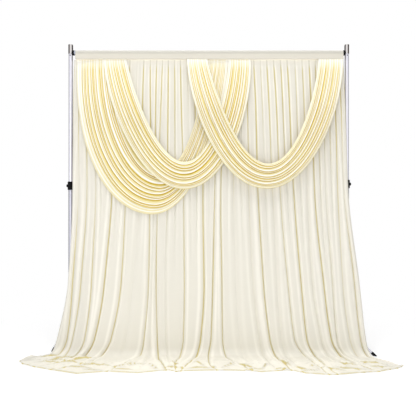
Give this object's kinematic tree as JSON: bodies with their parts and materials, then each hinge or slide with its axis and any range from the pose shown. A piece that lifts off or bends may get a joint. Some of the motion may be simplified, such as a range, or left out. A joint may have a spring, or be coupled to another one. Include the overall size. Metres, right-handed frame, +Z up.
{
  "type": "backdrop drape on a crossbar stand",
  "caption": "Cream pleated backdrop curtain with a floor train and draped swags, hung by a flat header band on a crossbar between two tripod uprights.",
  "frame": {"origin": "on the floor, in the middle of the footprint's bounding box", "axes": "+X along the crossbar to the viewer's right, -Y towards the viewer, +Z up"},
  "size_m": [3.0907, 0.8436, 2.67],
  "materials": {
    "curtain": "smooth ivory knit, matt with a soft sheen",
    "swag": "smooth cream knit, soft sheen",
    "header": "smooth ivory knit, flat",
    "tube": "polished",
    "black": "satin black",
    "rivet": "satin"
  },
  "bodies": {
    "root": {"curtain_panel": "curtain", "header_pocket": "header", "swag_left_lower": "swag", "swag_left_upper": "swag", "swag_right": "swag", "crossbar": "tube", "crossbar_end_left": "black", "upright_head_left": "tube", "rivet_left": "rivet", "upright_upper_left": "tube", "upright_lower_left": "tube", "clamp_collar_left": "black", "clamp_knob_left": "black", "tripod_hub_left": "black", "tripod_leg_left_1": "tube", "foot_tip_left_1": "black", "tripod_leg_left_2": "tube", "foot_tip_left_2": "black", "tripod_leg_left_3": "tube", "foot_tip_left_3": "black", "crossbar_end_right": "black", "upright_head_right": "tube", "rivet_right": "rivet", "upright_upper_right": "tube", "upright_lower_right": "tube", "clamp_collar_right": "black", "clamp_knob_right": "black", "tripod_hub_right": "black", "tripod_leg_right_1": "tube", "foot_tip_right_1": "black", "tripod_leg_right_2": "tube", "foot_tip_right_2": "black", "tripod_leg_right_3": "tube", "foot_tip_right_3": "black"}
  },
  "joints": []
}
